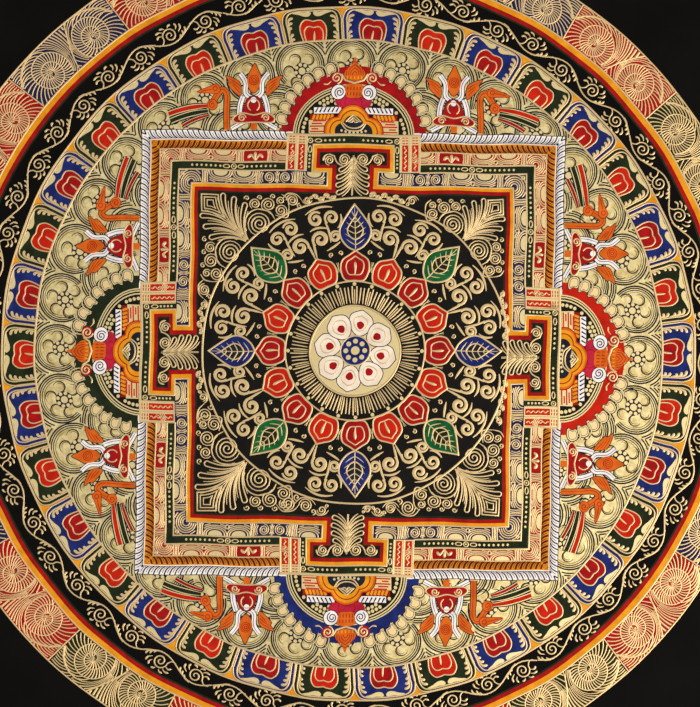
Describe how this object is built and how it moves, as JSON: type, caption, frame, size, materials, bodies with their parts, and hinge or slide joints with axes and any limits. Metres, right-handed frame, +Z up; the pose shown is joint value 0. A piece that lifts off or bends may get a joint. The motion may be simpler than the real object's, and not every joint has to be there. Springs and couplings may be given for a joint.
{
  "type": "thangka painting",
  "caption": "Square painted cotton canvas with a round gold mandala on a black ground, hemmed all round, hanging from its top edge.",
  "frame": {"origin": "middle of the canvas's top edge, half way through the cloth", "axes": "+Z up along the hanging cloth, +X to the viewer's right, +Y away from the viewer, so the painted face looks towards -Y"},
  "size_m": [0.6, 0.0114, 0.6],
  "materials": {
    "painted_cotton": "matt mineral paint and raised gold lines on a black ground over primed cotton"
  },
  "bodies": {
    "root": {"painted_canvas": "painted_cotton"}
  },
  "joints": []
}
